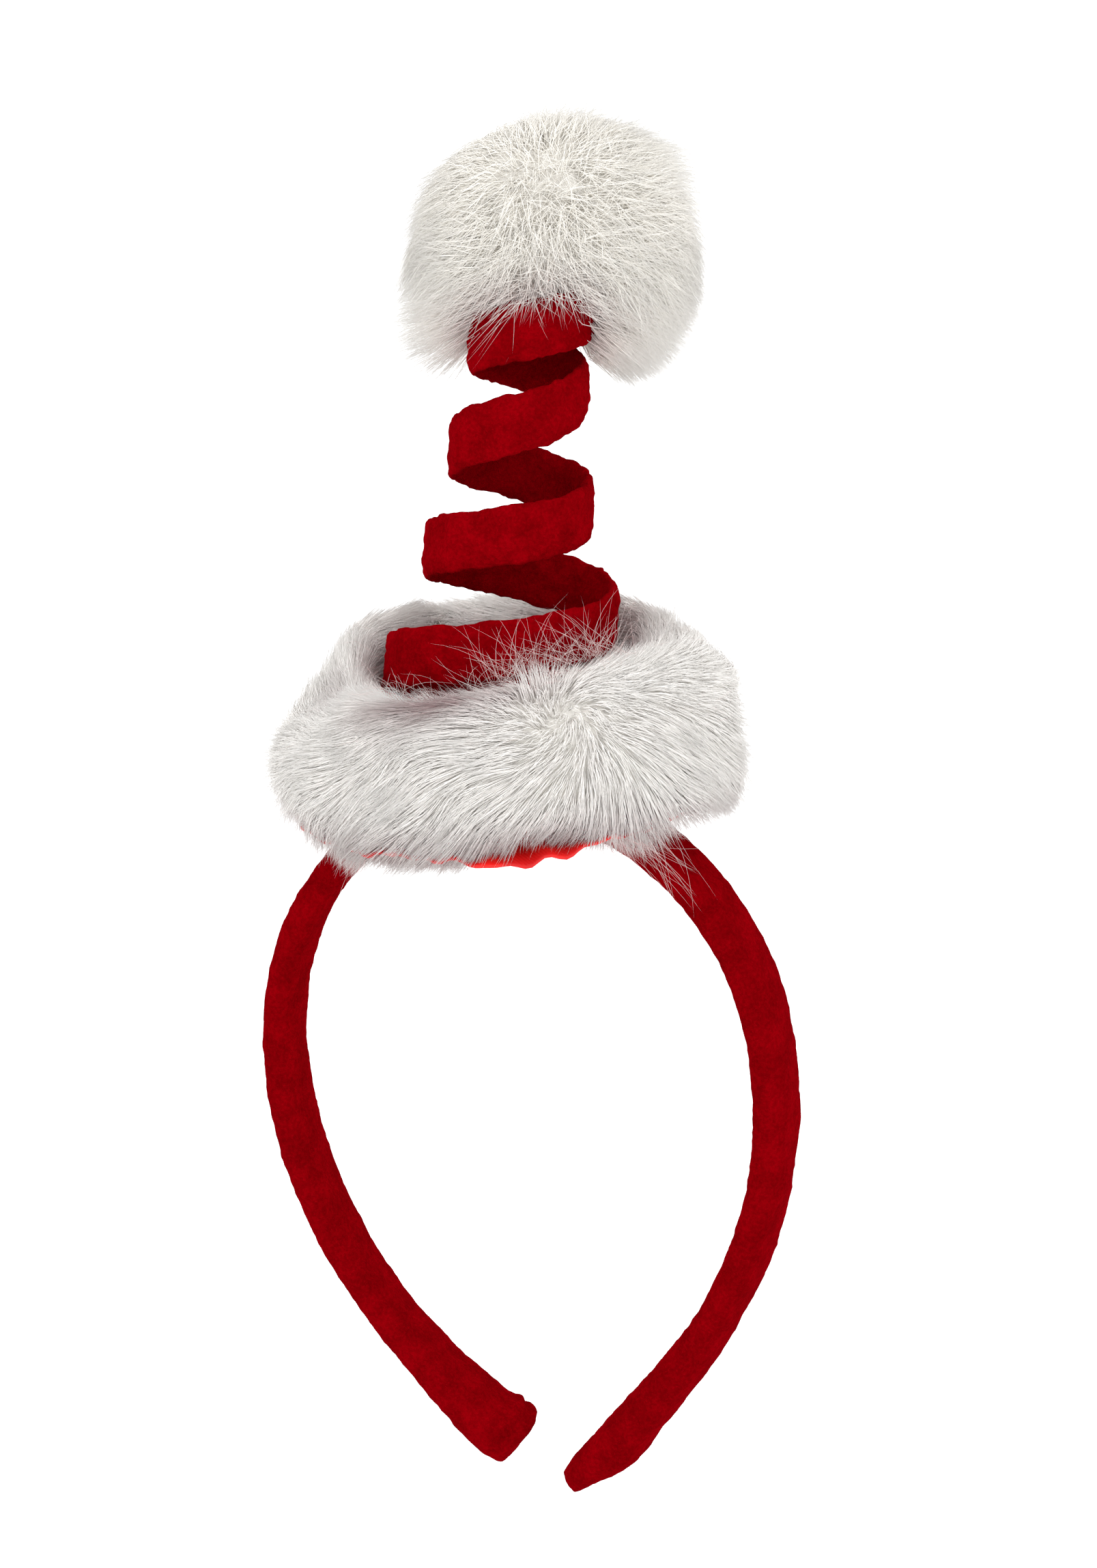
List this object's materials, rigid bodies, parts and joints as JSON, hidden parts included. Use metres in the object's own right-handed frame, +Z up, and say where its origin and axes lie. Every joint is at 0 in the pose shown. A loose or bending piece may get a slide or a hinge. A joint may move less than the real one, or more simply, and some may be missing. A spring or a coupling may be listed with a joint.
{
  "type": "head bopper",
  "caption": "Velvet covered headband with a fur trimmed hat brim on top and a leaning coiled strap that carries a fur pompom.",
  "frame": {"origin": "middle of the headband's inner face at its top, where the band sits on a head", "axes": "+X towards the right of the picture along the band's span, -Y to the front, +Z up through the coil"},
  "size_m": [0.1152, 0.1131, 0.2901],
  "materials": {
    "velvet": "deep red crushed velvet",
    "satin": "bright red satin",
    "fur": "long soft white pile"
  },
  "bodies": {
    "root": {"headband": "velvet", "spring_strap": "velvet", "hat_base": "satin", "fur_brim": "fur", "pompom": "fur"}
  },
  "joints": []
}
